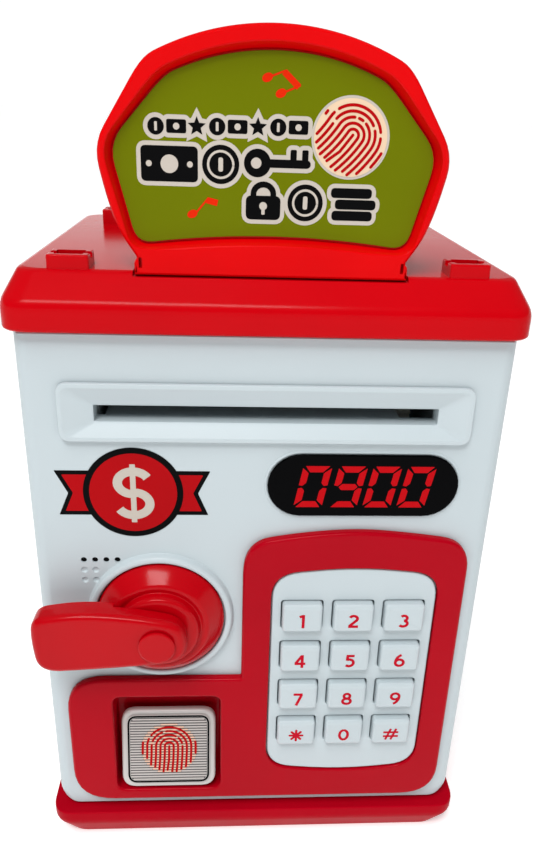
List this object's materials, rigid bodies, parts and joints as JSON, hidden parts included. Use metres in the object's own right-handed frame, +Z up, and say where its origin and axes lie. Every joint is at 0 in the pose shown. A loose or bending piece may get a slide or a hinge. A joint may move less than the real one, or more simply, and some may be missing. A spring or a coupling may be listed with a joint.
{
  "type": "toy cash machine money box",
  "caption": "Toy cash machine money box: white hinged front with lever knob, banknote slot, digit display, keypad and fingerprint pad, red base and lid, arched sign on top.",
  "frame": {"origin": "centre of the flat underside of the base", "axes": "+Z up, -Y out of the front door, +X to the right seen from the front, where the door is hinged"},
  "size_m": [0.1344, 0.1311, 0.2446],
  "materials": {
    "white_plastic": "moulded ABS, satin gloss",
    "red_plastic": "moulded ABS, glossy",
    "green_label": "glossy printed label",
    "black_lens": "glossy window",
    "steel": "zinc plated",
    "rubber": "matte",
    "circuit_board": "solder mask",
    "nylon": "satin",
    "pad_label": "printed label with fine ribs",
    "battery_skin": "printed film on steel"
  },
  "bodies": {
    "housing": {"base_tray": "red_plastic", "rear_housing": "white_plastic", "lid": "red_plastic", "sign_frame": "red_plastic", "sign_label": "green_label", "strike_plate": "steel", "hinge_pin_lower": "steel", "hinge_pin_upper": "steel", "base_screw_1": "steel", "base_screw_2": "steel", "base_screw_3": "steel", "base_screw_4": "steel"},
    "door": {"door_panel": "white_plastic", "slot_bezel": "white_plastic", "display_lens": "black_lens", "display_module": "circuit_board", "fascia": "red_plastic", "keypad_plate": "white_plastic", "key_membrane": "rubber", "main_board": "circuit_board", "back_cover": "white_plastic", "battery_cover": "white_plastic", "battery_1": "battery_skin", "battery_2": "battery_skin", "battery_3": "battery_skin", "speaker": "rubber", "note_guide": "white_plastic", "feed_motor": "steel", "lock_solenoid": "steel", "fingerprint_spring": "steel"},
    "knob": {"knob_disc": "red_plastic", "lever": "red_plastic", "lever_cap": "red_plastic", "latch_cam": "nylon", "knob_screw": "steel"},
    "pad": {"fingerprint_button": "white_plastic", "fingerprint_plate": "pad_label"},
    "lock_pin": {"lock_plunger": "steel"},
    "feed_roller": {"feed_shaft": "steel", "feed_roller_left": "rubber", "feed_roller_right": "rubber", "feed_gear": "nylon"},
    "pinch_roller": {"pinch_shaft": "steel", "pinch_roller_left": "rubber", "pinch_roller_right": "rubber"},
    "pinion": {"motor_pinion": "nylon"},
    "key_1": {"key_1": "white_plastic"},
    "key_2": {"key_2": "white_plastic"},
    "key_3": {"key_3": "white_plastic"},
    "key_4": {"key_4": "white_plastic"},
    "key_5": {"key_5": "white_plastic"},
    "key_6": {"key_6": "white_plastic"},
    "key_7": {"key_7": "white_plastic"},
    "key_8": {"key_8": "white_plastic"},
    "key_9": {"key_9": "white_plastic"},
    "key_star": {"key_star": "white_plastic"},
    "key_0": {"key_0": "white_plastic"},
    "key_hash": {"key_hash": "white_plastic"}
  },
  "joints": [
    {"name": "door_hinge", "type": "hinge", "parent": "housing", "child": "door", "pos_m": [0.061, -0.048, 0.094], "axis": [0, 0, 1], "range_deg": [0, 90]},
    {"name": "knob_turn", "type": "hinge", "parent": "door", "child": "knob", "pos_m": [-0.0298, -0.056, 0.089], "axis": [0, 1, 0], "range_deg": [0, 90]},
    {"name": "pad_press", "type": "slide", "parent": "door", "child": "pad", "axis": [0, 0.9799, -0.1994], "range_m": [0, 0.0012], "stiffness_N_per_m": 600, "springref_m": -0.0004, "deforming": ["fingerprint_spring"]},
    {"name": "lock_pin_slide", "type": "slide", "parent": "door", "child": "lock_pin", "axis": [0, 1, 0], "range_m": [0, 0.0035], "stiffness_N_per_m": 150, "springref_m": -0.0008},
    {"name": "feed_turn", "type": "hinge", "parent": "door", "child": "feed_roller", "pos_m": [0.001, -0.031, 0.1472], "axis": [1, 0, 0], "continuous": true},
    {"name": "pinch_turn", "type": "hinge", "parent": "door", "child": "pinch_roller", "pos_m": [0.001, -0.031, 0.15685], "axis": [1, 0, 0], "continuous": true},
    {"name": "pinion_turn", "type": "hinge", "parent": "door", "child": "pinion", "pos_m": [0.0404, -0.031, 0.1368], "axis": [1, 0, 0], "continuous": true},
    {"name": "key_1_press", "type": "slide", "parent": "door", "child": "key_1", "axis": [0, 1, 0], "range_m": [0, 0.0012], "stiffness_N_per_m": 400, "springref_m": -0.0004},
    {"name": "key_2_press", "type": "slide", "parent": "door", "child": "key_2", "axis": [0, 1, 0], "range_m": [0, 0.0012], "stiffness_N_per_m": 400, "springref_m": -0.0004},
    {"name": "key_3_press", "type": "slide", "parent": "door", "child": "key_3", "axis": [0, 1, 0], "range_m": [0, 0.0012], "stiffness_N_per_m": 400, "springref_m": -0.0004},
    {"name": "key_4_press", "type": "slide", "parent": "door", "child": "key_4", "axis": [0, 1, 0], "range_m": [0, 0.0012], "stiffness_N_per_m": 400, "springref_m": -0.0004},
    {"name": "key_5_press", "type": "slide", "parent": "door", "child": "key_5", "axis": [0, 1, 0], "range_m": [0, 0.0012], "stiffness_N_per_m": 400, "springref_m": -0.0004},
    {"name": "key_6_press", "type": "slide", "parent": "door", "child": "key_6", "axis": [0, 1, 0], "range_m": [0, 0.0012], "stiffness_N_per_m": 400, "springref_m": -0.0004},
    {"name": "key_7_press", "type": "slide", "parent": "door", "child": "key_7", "axis": [0, 1, 0], "range_m": [0, 0.0012], "stiffness_N_per_m": 400, "springref_m": -0.0004},
    {"name": "key_8_press", "type": "slide", "parent": "door", "child": "key_8", "axis": [0, 1, 0], "range_m": [0, 0.0012], "stiffness_N_per_m": 400, "springref_m": -0.0004},
    {"name": "key_9_press", "type": "slide", "parent": "door", "child": "key_9", "axis": [0, 1, 0], "range_m": [0, 0.0012], "stiffness_N_per_m": 400, "springref_m": -0.0004},
    {"name": "key_star_press", "type": "slide", "parent": "door", "child": "key_star", "axis": [0, 1, 0], "range_m": [0, 0.0012], "stiffness_N_per_m": 400, "springref_m": -0.0004},
    {"name": "key_0_press", "type": "slide", "parent": "door", "child": "key_0", "axis": [0, 1, 0], "range_m": [0, 0.0012], "stiffness_N_per_m": 400, "springref_m": -0.0004},
    {"name": "key_hash_press", "type": "slide", "parent": "door", "child": "key_hash", "axis": [0, 1, 0], "range_m": [0, 0.0012], "stiffness_N_per_m": 400, "springref_m": -0.0004}
  ],
  "couplings": [
    {"joint": "pinch_turn", "follows": "feed_turn", "ratio": -1.1905},
    {"joint": "pinion_turn", "follows": "feed_turn", "ratio": -2.4}
  ]
}
